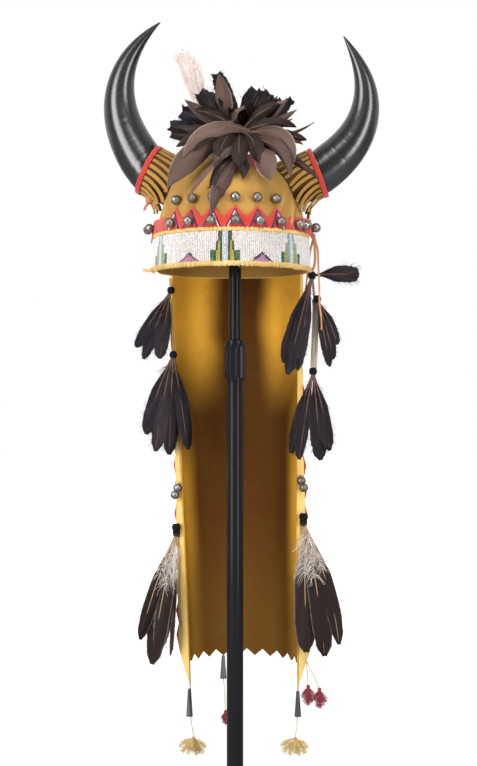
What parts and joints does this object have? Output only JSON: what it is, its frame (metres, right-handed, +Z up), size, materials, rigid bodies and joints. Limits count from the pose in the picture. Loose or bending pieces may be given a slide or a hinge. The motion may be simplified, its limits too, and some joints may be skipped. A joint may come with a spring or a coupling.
{
  "type": "split horn headdress on display stand",
  "caption": "Hide cap with split horns, fringed cuffs, beaded brow band, bells, feather rosette and a long feather-hung hide trailer, shown on a plain round-foot stand.",
  "frame": {"origin": "middle of the underside of the stand's round foot, below its pole", "axes": "+Z up along the stand's pole, -Y out of the brow, the way that the headdress faces, +X to the right of a viewer in front of it"},
  "size_m": [0.3282, 0.28, 0.9876],
  "materials": {
    "black_paint": "satin black paint",
    "yellow_hide": "smoke-yellow tanned hide, matte, darker with age",
    "white_beads": "opaque glass seed beads",
    "pale_hide": "raw pale hide",
    "red_cloth": "red wool trade cloth",
    "bell_metal": "tarnished bell metal",
    "black_horn": "polished black horn",
    "brown_feather": "brown feathers with pale edges",
    "black_feather": "black feathers with a faint sheen",
    "plume_down": "white and tan plume",
    "tail_feather": "brown feathers with pale roots",
    "quill": "flat stripped quill",
    "tin": "dull rolled tin",
    "yellow_fluff": "yellow dyed down",
    "red_fluff": "red dyed down"
  },
  "bodies": {
    "root": {"stand_base": "black_paint", "stand_lower_tube": "black_paint", "stand_collar": "black_paint", "stand_upper_tube": "black_paint", "stand_pad": "black_paint", "hide_cap": "yellow_hide", "horn_cuff_left": "yellow_hide", "horn_cuff_right": "yellow_hide", "hide_trailer": "yellow_hide", "brow_band": "white_beads", "brow_binding_top": "pale_hide", "brow_binding_foot": "pale_hide", "thong_left": "pale_hide", "thong_right": "pale_hide", "red_cloth_points": "red_cloth", "cuff_edge_left": "red_cloth", "cuff_edge_right": "red_cloth", "trailer_border_left": "red_cloth", "trailer_border_right": "red_cloth", "bell_upper_1": "bell_metal", "bell_upper_2": "bell_metal", "bell_upper_3": "bell_metal", "bell_upper_4": "bell_metal", "bell_upper_5": "bell_metal", "bell_upper_6": "bell_metal", "bell_lower_1": "bell_metal", "bell_lower_2": "bell_metal", "bell_lower_3": "bell_metal", "bell_lower_4": "bell_metal", "bell_lower_5": "bell_metal", "bell_lower_6": "bell_metal", "bell_lower_7": "bell_metal", "bell_lower_8": "bell_metal", "bell_lower_9": "bell_metal", "bell_lower_10": "bell_metal", "bell_lower_11": "bell_metal", "edge_bells_left": "bell_metal", "edge_bells_right": "bell_metal", "horn_left": "black_horn", "horn_right": "black_horn", "rosette_front": "brown_feather", "rosette_crown": "black_feather", "side_upper_left": "black_feather", "side_lower_left": "black_feather", "side_upper_right": "black_feather", "side_outer_right": "black_feather", "side_lower_right": "black_feather", "rosette_plume": "plume_down", "tail_feathers_left": "tail_feather", "tail_feathers_right": "tail_feather", "quill_slat_right": "quill", "tin_cone_left": "tin", "tin_cone_middle": "tin", "tin_cone_right": "tin", "fluff_left": "yellow_fluff", "fluff_right": "yellow_fluff", "fluff_middle": "red_fluff", "fluff_edge_right": "red_fluff"}
  },
  "joints": []
}
